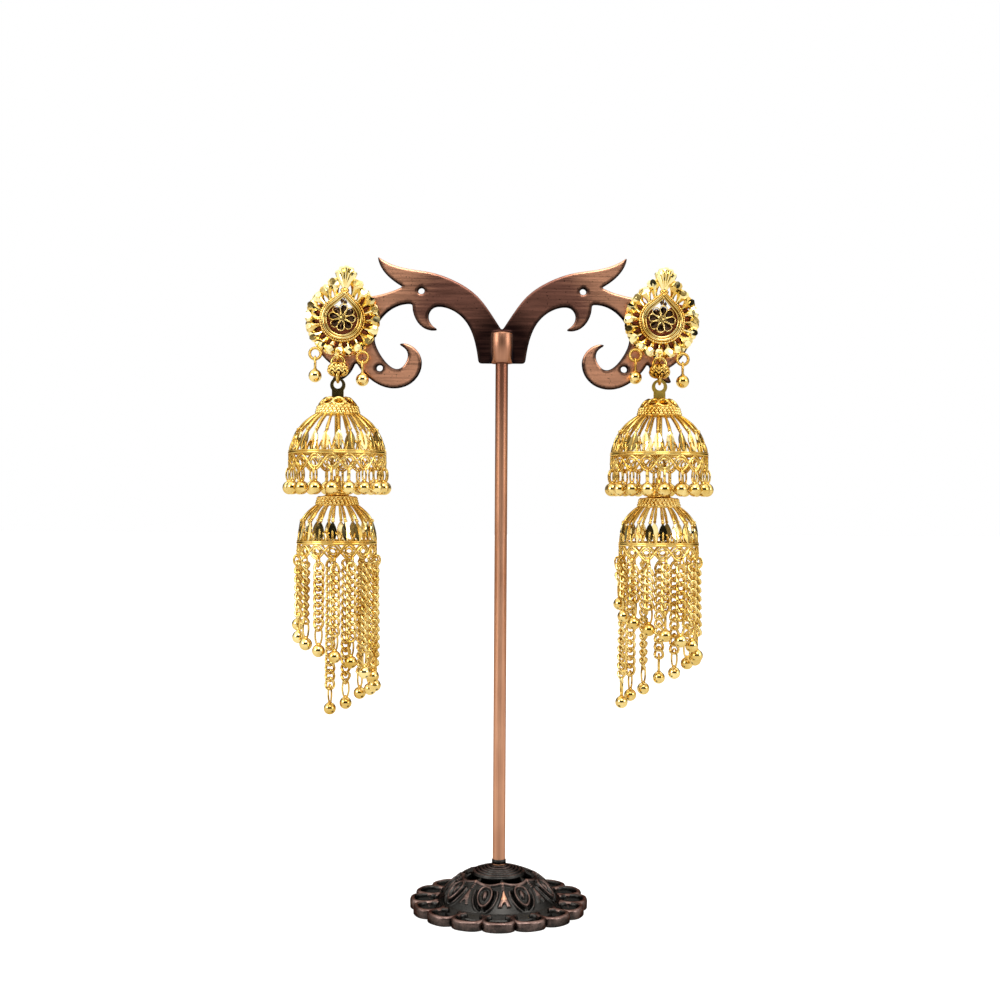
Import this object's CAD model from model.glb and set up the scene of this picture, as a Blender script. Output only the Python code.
# %% [markdown]
# # A pair of jhumka earrings on their stand
#
# A jhumka is a bell-shaped drop earring. These have two bells, one below the other, under a
# drop-shaped stud plate, and a fringe of curb chains that grow longer round the lower bell. Both
# hang on a small copper stand.
#
# The CAD model already holds every piece at its real size, so this script loads it as a fixed frame
# and only makes the looks: openwork, ropes, granules, cut facets, chain links, cast ornament, and
# the metals.

from math import acos, cos, pi, radians, sin, tau

import bpy
import numpy as np
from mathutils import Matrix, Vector


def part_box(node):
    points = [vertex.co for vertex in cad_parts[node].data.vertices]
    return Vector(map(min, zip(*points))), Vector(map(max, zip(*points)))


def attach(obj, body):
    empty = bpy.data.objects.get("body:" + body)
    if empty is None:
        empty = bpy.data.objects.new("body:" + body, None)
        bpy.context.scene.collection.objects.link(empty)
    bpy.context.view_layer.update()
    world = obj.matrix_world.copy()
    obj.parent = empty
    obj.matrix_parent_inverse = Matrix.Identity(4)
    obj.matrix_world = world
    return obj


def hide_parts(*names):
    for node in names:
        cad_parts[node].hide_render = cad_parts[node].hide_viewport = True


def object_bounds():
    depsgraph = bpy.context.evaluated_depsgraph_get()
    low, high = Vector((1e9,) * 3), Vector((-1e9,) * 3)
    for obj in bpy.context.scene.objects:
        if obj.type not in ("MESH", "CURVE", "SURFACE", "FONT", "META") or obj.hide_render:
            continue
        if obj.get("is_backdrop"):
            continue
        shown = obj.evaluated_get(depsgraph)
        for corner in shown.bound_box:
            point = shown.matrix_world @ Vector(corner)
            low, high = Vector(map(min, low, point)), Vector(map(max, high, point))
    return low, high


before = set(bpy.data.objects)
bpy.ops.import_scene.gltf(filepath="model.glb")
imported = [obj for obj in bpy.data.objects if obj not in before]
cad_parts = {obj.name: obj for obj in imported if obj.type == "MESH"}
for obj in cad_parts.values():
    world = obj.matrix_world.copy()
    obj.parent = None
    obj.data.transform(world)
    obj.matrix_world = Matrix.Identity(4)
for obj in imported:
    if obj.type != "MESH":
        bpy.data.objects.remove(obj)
cad_box = [list(corner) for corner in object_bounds()]

# %% [markdown]
# Jewellery is measured in millimetres, and Blender's unit here is the metre. Shapes below are
# worked out in millimetres and scaled once, when their mesh is made. Places come from the boxes of
# the CAD nodes.

# %% Millimetres
MM = 0.001


def box_mm(node):
    """The lowest and highest corners of a CAD node, in millimetres."""
    low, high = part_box(node)
    return np.array(low) / MM, np.array(high) / MM


print("arms, mm:", [corner.round(2).tolist() for corner in box_mm("stand_arms")])

# %% [markdown]
# Every shape is drawn once, where it is easiest to draw, and then moved. A 4 by 4 matrix holds a
# move, a turn or a stretch, and matrices multiply into one: a bead can be tilted, pushed out to its
# radius and carried round the bell in one step.

# %% Moves
def shift(x=0.0, y=0.0, z=0.0):
    """A move, as a 4 by 4 matrix."""
    place = np.eye(4)
    place[:3, 3] = x, y, z
    return place


def spin(axis, degrees):
    """A turn about the x, y or z axis, as a 4 by 4 matrix."""
    first, second = {"x": (1, 2), "y": (2, 0), "z": (0, 1)}[axis]
    place = np.eye(4)
    place[first, first] = place[second, second] = cos(radians(degrees))
    place[second, first] = sin(radians(degrees))
    place[first, second] = -place[second, first]
    return place


def scale(x=1.0, y=1.0, z=1.0):
    """A stretch along each axis, as a 4 by 4 matrix."""
    return np.diag([x, y, z, 1.0])


def moved(shape, place):
    """The same shape somewhere else."""
    points, faces = shape
    return points @ place[:3, :3].T + place[:3, 3], faces


# %% [markdown]
# Every piece is a mesh of many small shapes: a bell alone has ribs, facets, rings and granules.
# Joining them as separate Blender objects would be slow, so each shape is a pair of NumPy points
# and face tuples, and a Form gathers the shapes of one piece, with the finish and the shading of
# each, before Blender sees them.

# %% A form gathers shapes
class Form:
    """The shapes of one piece: points, faces, and the finish and smoothness of each face."""

    def __init__(self):
        self.points, self.faces, self.finishes, self.smooth, self.count = [], [], [], [], 0

    def add(self, shape, place=None, finish=0, smooth=True):
        points, faces = shape if place is None else moved(shape, place)
        start = self.count
        self.faces += [tuple(index + start for index in face) for face in faces]
        self.finishes += [finish] * len(faces)
        self.smooth += [smooth] * len(faces)
        self.points.append(points)
        self.count += len(points)

    def around(self, shape, count, first=0.0, place=None, **look):
        """Add copies of a shape at equal angles round the vertical axis."""
        for step in range(count):
            turn = spin("z", first + 360 * step / count)
            self.add(shape, turn if place is None else turn @ place, **look)


# %% From a form to a piece
def make_piece(name, form, body, finishes, replaces=(), place=None):
    """Turn a form into a Blender object that rides on a CAD body."""
    points = np.concatenate(form.points)
    if place is not None:
        points = points @ place[:3, :3].T + place[:3, 3]
    mesh = bpy.data.meshes.new(name)
    mesh.from_pydata((points * MM).tolist(), [], form.faces)
    mesh.polygons.foreach_set("use_smooth", form.smooth)
    mesh.polygons.foreach_set("material_index", form.finishes)
    for finish in finishes:
        mesh.materials.append(finish)
    piece = bpy.data.objects.new(name, mesh)
    bpy.context.scene.collection.objects.link(piece)
    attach(piece, body)
    if replaces:
        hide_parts(*replaces)
    print(f"{name}: {len(mesh.polygons)} faces")
    return piece


# %% [markdown]
# Four kinds of shape make nearly everything on an earring. A tube follows a path and is a wire, a
# rib or a ring. A lathe turns a profile and is a ball, a collar or a cap. A gem is a flat plate
# with a ridge, cut to facets. Granules are tiny balls in a row, the milled beading that edges
# Indian gold work.

# %% Tubes and rings
def grid(rows, columns, close_rows, close_columns):
    """Faces that join rows of points, each row with the same number of columns."""
    faces = []
    for row in range(rows if close_rows else rows - 1):
        below, above = row * columns, (row + 1) % rows * columns
        for column in range(columns if close_columns else columns - 1):
            after = (column + 1) % columns
            faces.append((below + column, below + after, above + after, above + column))
    return faces


def tube(path, radius, sides=8, closed=False, up=(0, 1, 0)):
    """A wire of round section along a path. up is a direction that the path never follows."""
    path = np.asarray(path, float)
    if closed:
        tangent = np.roll(path, -1, axis=0) - np.roll(path, 1, axis=0)
    else:
        tangent = np.gradient(path, axis=0)
    side = np.cross(tangent, up)
    side /= np.linalg.norm(side, axis=1)[:, None]
    lift = np.cross(side, tangent)
    lift /= np.linalg.norm(lift, axis=1)[:, None]
    radius = np.broadcast_to(radius, len(path))[:, None, None]
    angles = tau * np.arange(sides) / sides
    across, along = np.cos(angles)[None, :, None], np.sin(angles)[None, :, None]
    section = across * side[:, None] + along * lift[:, None]
    points = (path[:, None] + radius * section).reshape(-1, 3)
    faces = grid(len(path), sides, closed, True)
    if not closed:
        last = (len(path) - 1) * sides
        faces += [tuple(reversed(range(sides))), tuple(range(last, last + sides))]
    return points, faces


def ellipse(width, height, steps, plane="xz"):
    """Points of an ellipse round the origin, by its half width and half height."""
    angles = tau * np.arange(steps) / steps
    first, second = width * np.cos(angles), height * np.sin(angles)
    columns = {"x": np.zeros(steps), "y": np.zeros(steps), "z": np.zeros(steps)}
    columns[plane[0]], columns[plane[1]] = first, second
    return np.stack([columns["x"], columns["y"], columns["z"]], axis=1)


def ring(radius, wire, steps=32, sides=8, plane="xz", height=None):
    """A closed ring of wire in the plane named by two axes."""
    up = {"xz": (0, 1, 0), "yz": (1, 0, 0), "xy": (0, 0, 1)}[plane]
    return tube(ellipse(radius, height or radius, steps, plane), wire, sides, True, up)


print("a ring of wire:", len(ring(1.0, 0.2)[1]), "faces")

# %% Turned shapes
def lathe(profile, sides=32):
    """Turn rows of radius and height round the vertical axis. A radius of 0 closes an end."""
    angles = tau * np.arange(sides) / sides
    points, rows = [], []
    for radius, height in profile:
        start = len(points)
        if radius < 1e-6:
            points.append((0.0, 0.0, height))
            rows.append([start] * sides)
        else:
            points += [(radius * cos(angle), radius * sin(angle), height) for angle in angles]
            rows.append(list(range(start, start + sides)))
    faces = []
    for below, above in zip(rows, rows[1:]):
        for column in range(sides):
            after = (column + 1) % sides
            corners = (below[column], below[after], above[after], above[column])
            faces.append(tuple(dict.fromkeys(corners)))
    return np.array(points), faces


def ball(radius, sides=20, rows=10):
    """A round ball."""
    angles = [pi * row / rows - pi / 2 for row in range(rows + 1)]
    return lathe([(radius * cos(angle) if 0 < row < rows else 0.0, radius * sin(angle))
                  for row, angle in enumerate(angles)], sides)


print("a ball:", len(ball(1.0)[1]), "faces")

# %% Cut plates and granules
def gem(outline, thickness, ridge, crown):
    """A cut plate that faces +X, from its outline and its ridge, the crown, both in y and z."""
    rim = [(0.0, y, z) for y, z in outline]
    back = [(-thickness, y, z) for y, z in outline]
    spine = [(ridge, y, z) for y, z in crown]
    points = np.array(rim + back + spine)
    size, faces = len(outline), []
    nearest = [min(range(len(crown)),
                   key=lambda place: (crown[place][1] - z) ** 2 + (crown[place][0] - y) ** 2)
               for y, z in outline]
    for corner in range(size):
        after = (corner + 1) % size
        faces.append((corner, corner + size, after + size, after))
        first, second = 2 * size + nearest[corner], 2 * size + nearest[after]
        faces.append(tuple(dict.fromkeys((corner, after, second, first))))
    faces.append(tuple(range(size, 2 * size)))
    return points, faces


def granules(places, radius, sides=7, rows=4):
    """A row of tiny balls."""
    seed_points, seed_faces = ball(radius, sides, rows)
    points = [seed_points + np.asarray(place) for place in places]
    faces = [tuple(index + copy * len(seed_points) for index in face)
             for copy in range(len(points)) for face in seed_faces]
    return np.concatenate(points), faces


# %% Places and paths
def circle_places(radius, height, count):
    """Equal places round the vertical axis."""
    angles = tau * np.arange(count) / count
    heights = np.full(count, height)
    return np.stack([radius * np.cos(angles), radius * np.sin(angles), heights], axis=1)


def bend(start, middle, end, steps=10):
    """A smooth path from start to end that leaves towards middle."""
    t = np.linspace(0, 1, steps)[:, None]
    start, middle, end = (np.asarray(point, float) for point in (start, middle, end))
    return (1 - t) ** 2 * start + 2 * t * (1 - t) * middle + t ** 2 * end


arch = bend((0, 0, 0), (2, 0, 3), (4, 0, 0), 11)
print("a bend that aims at a height of 3 mm rises to", arch[:, 2].max(), "mm")

# %% [markdown]
# Metal looks right only when its finish is. Every colour and roughness below is worked out with
# nodes, and a small class keeps that readable: it wraps a socket, so that `wear * 0.6 + grain` adds
# the Math nodes itself.

# %% Shader maths
class Value:
    """A number that varies over a surface. Arithmetic on it adds Math nodes."""

    def __init__(self, graph, socket):
        self.graph, self.socket = graph, socket

    def maths(self, operation, *numbers):
        return self.graph.node("ShaderNodeMath", {"operation": operation}, dict(enumerate(numbers)))

    def __add__(self, other):
        return self.maths("ADD", self, other)

    def __sub__(self, other):
        return self.maths("SUBTRACT", self, other)

    def __rsub__(self, other):
        return self.maths("SUBTRACT", other, self)

    def __mul__(self, other):
        return self.maths("MULTIPLY", self, other)

    def __pow__(self, other):
        return self.maths("POWER", self, other)

    __radd__, __rmul__ = __add__, __mul__

    def above(self, low, high):
        """0 below low, 1 above high, and a ramp between them."""
        settings = {"interpolation_type": "SMOOTHSTEP"}
        sockets = {"Value": self, "From Min": low, "From Max": high}
        return self.graph.node("ShaderNodeMapRange", settings, sockets)


# %% [markdown]
# Any other node comes from one method, which takes the node's type, its settings and its sockets. A
# number that is the same all over a surface goes straight onto the shader's socket, where an
# exporter can read it. Noise and bump are asked for in millimetres, the scale that a jeweller sees.

# %% A graph of nodes
class Graph:
    """The nodes of a material or a world, added by type, settings and sockets."""

    def __init__(self, owner):
        owner.use_nodes = True
        self.nodes, self.links = owner.node_tree.nodes, owner.node_tree.links

    def connect(self, node, sockets):
        for key, value in sockets.items():
            if isinstance(value, Value):
                self.links.new(value.socket, node.inputs[key])
            else:
                node.inputs[key].default_value = value

    def node(self, kind, settings=None, sockets=None, output=0):
        """Add a node, set it, feed its sockets, and give back one of its outputs."""
        node = self.nodes.new(kind)
        for key, value in (settings or {}).items():
            setattr(node, key, value)
        self.connect(node, sockets or {})
        return Value(self, node.outputs[output])

    def place(self, output="Object"):
        return self.node("ShaderNodeTexCoord", output=output)

    def part(self, output, axis):
        """One axis of a texture coordinate."""
        return self.node("ShaderNodeSeparateXYZ", None, {"Vector": self.place(output)}, output=axis)

    def stretched(self, scale_xyz):
        """Places on the piece in millimetres, stretched along each axis."""
        return self.node("ShaderNodeMapping", None,
                         {"Vector": self.place(), "Scale": tuple(each / MM for each in scale_xyz)})

    def noise(self, scale_xyz, detail=3.0, roughness=0.5):
        """Noise from 0 to 1. scale_xyz is how often it changes in a millimetre along each axis."""
        return self.node("ShaderNodeTexNoise", None,
                         {"Vector": self.stretched(scale_xyz), "Scale": 1.0, "Detail": detail,
                          "Roughness": roughness})

    def mix(self, factor, first, second):
        """A colour between two. The Mix node's colours go in at 6 and 7 and come out at 2."""
        sockets = {0: factor, 6: first, 7: second}
        return self.node("ShaderNodeMix", {"data_type": "RGBA"}, sockets, output=2)

    def attribute(self, name):
        """A number kept on each point of the mesh."""
        return self.node("ShaderNodeAttribute", {"attribute_name": name}, output="Fac")

    def bump(self, height, strength, distance_mm):
        return self.node("ShaderNodeBump", None,
                         {"Height": height, "Strength": strength, "Distance": distance_mm * MM})


# %% A metal finish
class Finish(Graph):
    """A metal finish: a Principled material."""

    def __init__(self, name):
        self.material = bpy.data.materials.new(name)
        super().__init__(self.material)
        self.shader = self.nodes["Principled BSDF"]
        self.shader.inputs["Metallic"].default_value = 1.0

    def surface(self, **sockets):
        self.connect(self.shader, {key.replace("_", " "): value for key, value in sockets.items()})
        return self.material


# %% [markdown]
# ## The studio
#
# Polished metal shows its surroundings more than its own colour, so the studio is built before the
# metal. A pale room with one dark place, where the camera would stand, gives every ball and facet a
# dark core between bright edges. Three soft lamps make the highlights.

# %% Camera
CAMERA_PLACE, CAMERA_ROLL = (-0.0002, -0.280, 0.0813), radians(-0.34)
SENSOR_WIDTH, FOCAL_LENGTH = 36, 50.4

scene = bpy.context.scene
scene.view_settings.view_transform = "Standard"
camera = bpy.data.objects.new("camera", bpy.data.cameras.new("camera"))
scene.collection.objects.link(camera)
camera.location, camera.rotation_euler = CAMERA_PLACE, (radians(90), CAMERA_ROLL, 0)
camera.data.sensor_width, camera.data.lens = SENSOR_WIDTH, FOCAL_LENGTH
camera.data.clip_start = 0.01
scene.camera = camera
print("camera:", FOCAL_LENGTH, "mm lens,", -CAMERA_PLACE[1], "m in front of the stand")

# %% The room
CEILING_LIGHT, WALL_LIGHT, LEAST_LIGHT = 1.45, 0.95, 0.16
CAMERA_SIDE_SHADE, BEHIND_SHADE = 0.93, 0.9


def studio_world():
    """A room with a bright ceiling and side walls, darker in front, behind and at table height."""
    world = bpy.data.worlds.new("studio")
    scene.world = world
    room = Graph(world)
    right, back, up = [room.part("Generated", axis) for axis in "XYZ"]
    side = room.node("ShaderNodeMath", {"operation": "ABSOLUTE"}, {0: right})
    ceiling = up.above(0.42, 0.68)
    side_walls = side.above(0.45, 0.8) * (1 - ceiling)
    camera_side = (back * -1).above(0.5, 0.85) * (1 - up.above(0.25, 0.6))
    behind = back.above(0.15, 0.5) * (1 - up.above(0.4, 0.7))
    backdrop = back.above(0.90, 0.94)
    light = ceiling * CEILING_LIGHT + side_walls * WALL_LIGHT + LEAST_LIGHT
    light = light * (1 - camera_side * CAMERA_SIDE_SHADE) * (1 - behind * BEHIND_SHADE)
    light = light * (1 - backdrop) + backdrop
    seen = room.node("ShaderNodeLightPath", output="Is Camera Ray")
    room.connect(room.nodes["Background"],
                 {"Color": (1, 1, 1, 1), "Strength": light * (1 - seen) + seen})
    print("room nodes:", len(room.nodes))


studio_world()

# %% Lamps
LAMP_TARGET = Vector((0, 0, 0.08))


def soft_lamp(name, place, size, watts):
    """A square lamp that faces the middle of the stand."""
    lamp = bpy.data.lights.new(name, "AREA")
    lamp.size, lamp.energy = size, watts
    holder = bpy.data.objects.new(name, lamp)
    scene.collection.objects.link(holder)
    holder.location = place
    holder.rotation_euler = (Vector(place) - LAMP_TARGET).to_track_quat("Z", "Y").to_euler()
    print(f"{name}: {watts} W")


soft_lamp("left_lamp", (-0.50, -0.34, 0.30), 0.26, 1.5)
soft_lamp("right_lamp", (0.52, -0.30, 0.26), 0.22, 1.0)
soft_lamp("top_lamp", (0.05, -0.34, 0.55), 0.24, 1.3)

# %% [markdown]
# The table top is white to the camera and, at under half that strength, in the metal's reflections.
# Its glow stops under the hollow base, where no light would reach, so the piercings look dark.

# %% The floor
FLOOR_REACH, FLOOR_GLOW, GLOW_IN_METAL = 3, 0.66, 0.45
HOLLOW_RADIUS = 0.0105, 0.0125  # metres: where the glow starts and where it is whole


def studio_floor():
    """A white table top that keeps the stand's shadow and is dark under the hollow base."""
    mesh = bpy.data.meshes.new("floor")
    sides = (-1, -1), (1, -1), (1, 1), (-1, 1)
    mesh.from_pydata([(x * FLOOR_REACH, y * FLOOR_REACH, 0) for x, y in sides], [], [(0, 1, 2, 3)])
    floor = bpy.data.objects.new("floor", mesh)
    scene.collection.objects.link(floor)
    material = bpy.data.materials.new("table_top")
    graph = Graph(material)
    seen = graph.node("ShaderNodeLightPath", output="Is Camera Ray")
    mirrored = graph.node("ShaderNodeLightPath", output="Is Glossy Ray")
    from_pole = graph.node("ShaderNodeVectorMath", {"operation": "LENGTH"}, {0: graph.place()},
                           output="Value")
    open_floor = from_pole.above(*HOLLOW_RADIUS)
    glow = graph.mix((seen + mirrored * GLOW_IN_METAL) * open_floor, (0, 0, 0, 1), (1, 1, 1, 1))
    graph.connect(graph.nodes["Principled BSDF"],
                  {"Base Color": (0.45, 0.45, 0.44, 1), "Roughness": 0.8,
                   "Emission Color": glow, "Emission Strength": FLOOR_GLOW})
    mesh.materials.append(material)
    floor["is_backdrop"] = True
    print("floor nodes:", len(graph.nodes))


studio_floor()

# %% [markdown]
# ## The gold
#
# The earrings are brass under a bright yellow plate. Cast and soldered metal is a little soft and
# grainy, while the facets are cut with a diamond tool afterwards, so they are paler and almost
# mirrors. The flat bail is plain plate that has gone dull and olive. A soft change of hue keeps a
# large piece from looking printed.

# %% Gold finishes
def gold(name, pale, deep, roughness, grain):
    """A gold plate that wanders between two colours, with cast grain."""
    finish = Finish(name)
    cloud = finish.noise((0.22, 0.22, 0.22), 2.0)  # a change every few millimetres
    fine = finish.noise((5.0, 5.0, 5.0), 2.0)  # the grain of a casting
    tone = (cloud * 0.75 + fine * 0.25).above(0.3, 0.7)
    smear = finish.noise((1.1, 1.1, 0.5), 3.0)
    polish = smear * 0.16 + (roughness - 0.08)
    return finish.surface(Base_Color=finish.mix(tone, deep, pale), Roughness=polish,
                          Specular_Tint=(1.0, 0.82, 0.5, 1), Normal=finish.bump(fine, grain, 0.04))


# Each gold: its name, its pale and its deep colour, its roughness and the strength of its grain.
cast_gold = gold("cast_gold", (0.83, 0.59, 0.17, 1), (0.39, 0.185, 0.018, 1), 0.16, 0.25)
wire_gold = gold("wire_gold", (0.87, 0.65, 0.22, 1), (0.49, 0.26, 0.032, 1), 0.12, 0.1)
cut_gold = gold("cut_gold", (0.98, 0.85, 0.46, 1), (0.88, 0.70, 0.29, 1), 0.08, 0.04)
shaded_gold = gold("shaded_gold", (0.10, 0.055, 0.030, 1), (0.025, 0.014, 0.009, 1), 0.13, 0.05)
bright_gold = gold("bright_gold", (0.95, 0.76, 0.33, 1), (0.57, 0.34, 0.055, 1), 0.12, 0.12)
bail_gold = gold("bail_gold", (0.31, 0.22, 0.075, 1), (0.16, 0.11, 0.03, 1), 0.22, 0.2)
olive_gold = gold("olive_gold", (0.84, 0.58, 0.12, 1), (0.55, 0.35, 0.05, 1), 0.34, 0.2)

# Every gold piece has these material slots, so a face is told its finish by a number.
GOLDS = (cast_gold, wire_gold, cut_gold, shaded_gold, bail_gold, bright_gold)
CAST, WIRE, CUT, SHADED, BAIL, BRIGHT = range(len(GOLDS))
print("gold finishes:", [finish.name for finish in GOLDS])

# %% [markdown]
# ## The bells
#
# A jhumka's bell is open work. A band of beading holds a crown of small loops, thin ribs spread
# from it to a row of cut marquise facets, and below the rim wire hangs a skirt: two waves of wire
# that cross between rings. It is easiest to draw each detail once in the plane where +X points out
# of the bell, and then to spin copies of it round the axis. Both bells use the same function with
# their own sizes.

# %% A cut facet and a crown of loops
def marquise(length, width):
    """A long oval facet, nearly flat, facing out."""
    steps = 8
    side = [(width / 2 * sin(pi * step / steps) ** 0.8, length * (step / steps - 0.5))
            for step in range(steps + 1)]
    outline = side + [(-y, z) for y, z in reversed(side[1:-1])]
    return gem(outline, 0.3, 0.07, [(0.0, -length * 0.3), (0.0, 0.0), (0.0, length * 0.3)])


def crown_loops(form, radius, height, count):
    """Small round loops that lean back against the crown, with a bead between each two."""
    lean = shift(radius, 0, height) @ spin("y", -42)
    form.around(ring(1.05, 0.32, 22, 8, "yz", 0.95), count, 0, lean, finish=WIRE)
    between = shift(x=radius + 0.35, z=height - 0.3)
    form.around(ball(0.34, 9, 6), count, 180 / count, between, finish=WIRE)


print("a marquise facet:", len(marquise(3.0, 1.0)[1]), "faces")

# %% The band and the skirt
def band(form, radius, bottom, top):
    """The beaded band: a tapered core with three rows of granules between two fine wires."""
    core = [(radius - 0.5, bottom - 0.1), (radius - 0.2, bottom), (radius - 0.55, top),
            (radius - 0.9, top + 0.1)]
    form.add(lathe(core, 64), finish=CAST)
    form.add(ring(radius - 0.12, 0.17, 72, 7, "xy"), shift(z=bottom + 0.02), finish=WIRE)
    form.add(ring(radius - 0.52, 0.17, 72, 7, "xy"), shift(z=top), finish=WIRE)
    rows = (0.2, 0.28, 32, 0.41), (0.5, 0.4, 31, 0.39), (0.8, 0.5, 29, 0.37)
    for rise, inward, count, size in rows:
        height = bottom + rise * (top - bottom)
        form.add(granules(circle_places(radius - inward, height, count), size, 9, 6), finish=BRIGHT)


def skirt(form, radius, bottom, top, places, first):
    """Two crossing waves of wire with a ring in each opening and a bead on each crossing."""
    height, swing = (bottom + top) / 2, (top - bottom) / 2 - 0.2
    angles = tau * np.arange(places * 8) / (places * 8)
    for side in (-1, 1):
        wave = side * swing * np.cos(angles * places / 2 - radians(first) * places / 2)
        path = np.stack([radius * np.cos(angles), radius * np.sin(angles), height + wave], axis=1)
        form.add(tube(path, 0.22, 7, True, (0, 0, 1)), finish=WIRE)
    hoop = ring(swing * 0.6, 0.2, 18, 7, "yz")
    form.around(hoop, places, first, shift(x=radius, z=height - 0.05), finish=WIRE)
    crossing = shift(x=radius + 0.05, z=height)
    form.around(ball(0.27, 8, 5), places, first + 180 / places, crossing, finish=CAST)


# %% [markdown]
# Between the band and the rim, each rib swells out and ends in a bead at the shoulder. Below the
# shoulder, a cut facet leans out in front of a thin stay, and two braces run from its sides to the
# rim. No two facets lie quite alike, because a hand sets them: a sine of the facet's number tilts
# each a little, the same way every time the script runs. A sine also picks the facets that mirror
# something dark.

# %% The open work of a bell
def ribs(form, sizes, first, foot):
    """Ribs that swell out from the band, with a bead at the shoulder, where foot says."""
    bulge, bulge_height = sizes["bulge"]
    rib = bend((sizes["band_radius"] - 0.4, 0, sizes["band_bottom"] + 0.1),
               (bulge, 0, bulge_height), (sizes["shoulder_radius"] - 0.1, 0, foot), 10)
    width = np.interp(np.linspace(0, 1, 10), (0, 0.7, 1), (0.22, 0.34, 0.24))
    form.around(tube(rib, width, 8), sizes["ribs"], first, finish=CAST)
    bead_place = shift(x=sizes["shoulder_radius"], z=foot)
    form.around(ball(0.36, 9, 6), sizes["ribs"], first, bead_place, finish=WIRE)


def facets_and_braces(form, sizes, first, foot):
    """The row of cut facets between the shoulder and the rim, each with its stay and two braces."""
    shoulder, rim_radius = sizes["shoulder_radius"], sizes["rim_radius"]
    rim, count = sizes["rim"], sizes["ribs"]
    drop, spread = foot - rim, rim_radius - 0.35 - shoulder
    lean = spin("y", -np.degrees(np.arctan2(spread, drop)))
    facet_place = shift((shoulder + rim_radius - 0.3) / 2 + 0.12, 0, (foot + rim) / 2 + 0.1) @ lean
    facet_width = 0.64 * tau * (shoulder + spread / 2) / count
    facet = marquise(drop * 0.92, facet_width)
    for step in range(count):
        tilt = spin("z", 15 * sin(step * 2.7)) @ spin("y", 5 * sin(step * 1.9 + 1))
        turn = spin("z", first + 360 * step / count)
        finish = BAIL if sin(step * 2.1 + first) > 0.55 else CUT
        form.add(facet, turn @ facet_place @ tilt, finish=finish, smooth=False)
    stay = bend((shoulder - 0.15, 0, foot), (shoulder + spread * 0.7, 0, foot - drop * 0.3),
                (rim_radius - 0.4, 0, rim), 8)
    form.around(tube(stay, 0.2, 6), count, first, finish=CAST)
    for side in (-1, 1):
        end = spin("z", side * 180 / count)[:3, :3] @ np.array([rim_radius - 0.35, 0, rim])
        brace = bend((shoulder + spread * 0.62, side * facet_width * 0.42, foot - drop * 0.5),
                     (rim_radius - 0.45, side * facet_width * 0.75, rim + drop * 0.3), end, 6)
        form.around(tube(brace, 0.16, 6), count, first, finish=CAST)


def bell(form, sizes, first):
    """An open bell. sizes names its heights, its radii and how often its details repeat."""
    rim_radius, rim, foot = sizes["rim_radius"], sizes["rim"], sizes["shoulder"] - 0.25
    band(form, sizes["band_radius"], sizes["band_bottom"], sizes["band_top"])
    ribs(form, sizes, first, foot)
    facets_and_braces(form, sizes, first, foot)
    form.add(ring(rim_radius - 0.3, 0.28, 96, 8, "xy"), shift(z=rim), finish=WIRE)
    form.add(ring(rim_radius - 0.22, 0.16, 96, 6, "xy"), shift(z=rim + 0.36), finish=WIRE)
    skirt(form, rim_radius - 0.32, sizes["skirt_bottom"], rim - 0.1, sizes["places"], -90)


# %% [markdown]
# The upper bell closes in a low crown, and small loops lean on it above the band. The lower bell
# has a turned collar instead, and a ring over it that hangs in the hook inside the upper bell. Each
# takes its height and its radius from its CAD node, and only the details between those are written
# here.

# %% The upper bell
def upper_bell(node, name, body):
    """The large bell with its crown."""
    low, high = box_mm(node)
    top, bottom = high[2], low[2]
    sizes = {"rim_radius": (high[0] - low[0]) / 2, "shoulder_radius": (high[0] - low[0]) / 2 - 2.0,
             "band_radius": 4.35, "band_top": top - 1.6, "band_bottom": top - 3.2,
             "shoulder": top - 6.1, "bulge": (6.1, top - 4.35), "rim": bottom + 3.5,
             "skirt_bottom": bottom, "ribs": 22, "places": 18}
    form = Form()
    bell(form, sizes, -90 + 180 / sizes["ribs"])
    crown = [(4.0, top - 1.55), (3.7, top - 1.35), (2.6, top - 0.75), (1.7, top - 0.35),
             (1.0, top - 0.05), (0.0, top)]
    form.add(lathe(crown, 40), finish=CAST)
    inner_cap = [(4.0, top - 1.55), (3.6, top - 3.2), (1.2, top - 3.5), (0.0, top - 3.5)]
    form.add(lathe(inner_cap, 40), finish=CAST)
    crown_loops(form, 2.95, top - 0.8, 9)
    return make_piece(name, form, body, GOLDS, (node,), place=shift(*((low + high) / 2)[:2]))


# %% The lower bell
def lower_bell(node, name, body):
    """The small bell, with the flat collar and the ring that it hangs by."""
    low, high = box_mm(node)
    neck = 4.9
    top, bottom = high[2] - neck, low[2]
    sizes = {"rim_radius": (high[0] - low[0]) / 2, "shoulder_radius": (high[0] - low[0]) / 2 - 1.05,
             "band_radius": 4.2, "band_top": top - 1.9, "band_bottom": top - 3.5,
             "shoulder": top - 6.3, "bulge": (5.5, top - 4.55), "rim": bottom + 3.1,
             "skirt_bottom": bottom, "ribs": 18, "places": 15}
    form = Form()
    bell(form, sizes, -90)
    collar = [(3.7, top - 1.8), (2.9, top - 1.7), (2.3, top - 1.5), (2.15, top - 0.6),
              (2.4, top - 0.45), (2.4, top - 0.1), (2.2, top), (0.9, top + 0.05), (0.7, top + 0.5),
              (0.7, top + 2.2), (0.0, top + 2.4)]
    form.add(lathe(collar, 40), finish=CAST)
    inner_cap = [(3.7, top - 1.8), (3.5, top - 3.5), (0.0, top - 3.6)]
    form.add(lathe(inner_cap, 40), finish=CAST)
    form.add(ring(2.3, 0.14, 48, 6, "xy"), shift(z=top - 1.0), finish=WIRE)
    form.add(ring(1.15, 0.3, 32, 8, "yz"), shift(z=high[2] - 1.45), finish=WIRE)
    return make_piece(name, form, body, GOLDS, (node,), place=shift(*((low + high) / 2)[:2]))


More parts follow.
